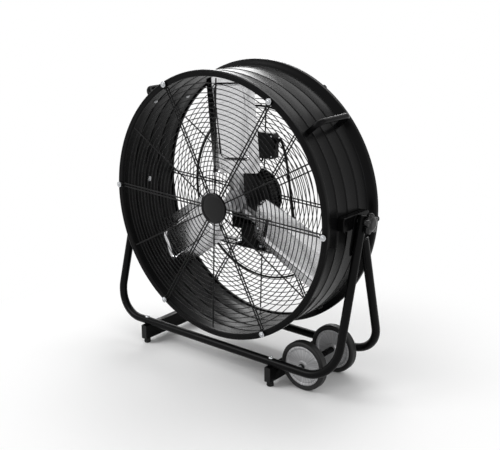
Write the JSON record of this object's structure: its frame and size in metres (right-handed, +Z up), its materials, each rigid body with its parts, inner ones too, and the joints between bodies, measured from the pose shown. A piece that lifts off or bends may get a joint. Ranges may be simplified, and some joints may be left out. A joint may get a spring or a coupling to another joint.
{
  "type": "drum fan",
  "caption": "Floor fan: a round steel drum with wire guards and turning blades, tilting in a bent tube stand with wheels and rubber feet.",
  "frame": {"origin": "on the floor, midway between the tilt pivots", "axes": "+Z up, air leaves the drum towards -Y, wheels on the +X side"},
  "size_m": [0.9366, 0.274, 0.913],
  "materials": {
    "black_paint": "satin black powder coat",
    "wire_paint": "satin black coated wire",
    "zinc": "bright zinc plate",
    "blade_metal": "plain rolled sheet",
    "motor_black": "black paint on a ribbed casting",
    "black_plastic": "fine grain moulding",
    "cable_black": "matt cable sheath",
    "rubber": "matt moulded rubber",
    "tyre": "matt solid tyre",
    "grey_plastic": "moulded grey disc"
  },
  "bodies": {
    "stand": {"front_stand_tube": "black_paint", "rear_stand_tube": "black_paint", "foot_bar_left": "black_paint", "foot_bar_right": "black_paint", "rubber_foot_left_front": "rubber", "rubber_foot_left_rear": "rubber", "rubber_foot_right_front": "rubber", "rubber_foot_right_rear": "rubber", "side_plate_right": "black_paint", "side_plate_left": "black_paint", "wheel_axle": "zinc", "axle_sleeve": "black_paint", "axle_cap_front": "black_plastic", "axle_cap_rear": "black_plastic"},
    "drum": {"drum_shell": "black_paint", "front_guard_rings": "wire_paint", "front_guard_spokes": "wire_paint", "rear_guard_rings": "wire_paint", "rear_guard_spokes": "wire_paint", "front_clip_1": "zinc", "front_clip_2": "zinc", "front_clip_3": "zinc", "front_clip_4": "zinc", "front_clip_5": "zinc", "front_clip_6": "zinc", "rear_clip_1": "zinc", "rear_clip_2": "zinc", "rear_clip_3": "zinc", "rear_clip_4": "zinc", "rear_clip_5": "zinc", "rear_clip_6": "zinc", "hub_badge": "black_plastic", "motor_body": "motor_black", "motor_end_cover": "motor_black", "motor_rail_front": "black_paint", "motor_rail_rear": "black_paint", "motor_pedestal": "black_paint", "switch_box": "black_plastic", "switch_box_lid": "black_plastic", "supply_lead": "cable_black", "lead_gland": "black_plastic", "motor_lead": "cable_black", "handle_right": "black_paint", "handle_left": "black_paint", "tilt_bracket_right": "black_paint", "tilt_bracket_left": "black_paint", "tilt_bolt_right": "zinc", "tilt_bolt_left": "zinc"},
    "rotor": {"blade_1": "blade_metal", "blade_2": "blade_metal", "blade_3": "blade_metal", "rotor_spider": "blade_metal", "motor_shaft": "zinc"},
    "speed_knob": {"speed_knob": "black_plastic"},
    "tilt_knob_right": {"tilt_knob_right": "black_plastic"},
    "tilt_knob_left": {"tilt_knob_left": "black_plastic"},
    "front_wheel": {"tyre_front": "tyre", "wheel_disc_front": "grey_plastic"},
    "rear_wheel": {"tyre_rear": "tyre", "wheel_disc_rear": "grey_plastic"}
  },
  "joints": [
    {"name": "drum_tilt", "type": "hinge", "parent": "stand", "child": "drum", "pos_m": [0, 0, 0.509], "axis": [1, 0, 0], "range_deg": [-90, 90]},
    {"name": "rotor_spin", "type": "hinge", "parent": "drum", "child": "rotor", "pos_m": [0, 0, 0.501], "axis": [0, 1, 0], "continuous": true},
    {"name": "speed_knob_turn", "type": "hinge", "parent": "drum", "child": "speed_knob", "pos_m": [0.0235, 0.12, 0.6583], "axis": [0, 1, 0], "range_deg": [0, 120]},
    {"name": "tilt_knob_right_turn", "type": "hinge", "parent": "drum", "child": "tilt_knob_right", "pos_m": [0.455, 0, 0.509], "axis": [1, 0, 0], "range_deg": [0, 360]},
    {"name": "tilt_knob_left_turn", "type": "hinge", "parent": "drum", "child": "tilt_knob_left", "pos_m": [-0.455, 0, 0.509], "axis": [-1, 0, 0], "range_deg": [0, 360]},
    {"name": "front_wheel_spin", "type": "hinge", "parent": "stand", "child": "front_wheel", "pos_m": [0.298, -0.076, 0.074], "axis": [0, 1, 0], "continuous": true},
    {"name": "rear_wheel_spin", "type": "hinge", "parent": "stand", "child": "rear_wheel", "pos_m": [0.298, 0.076, 0.074], "axis": [0, 1, 0], "continuous": true}
  ]
}
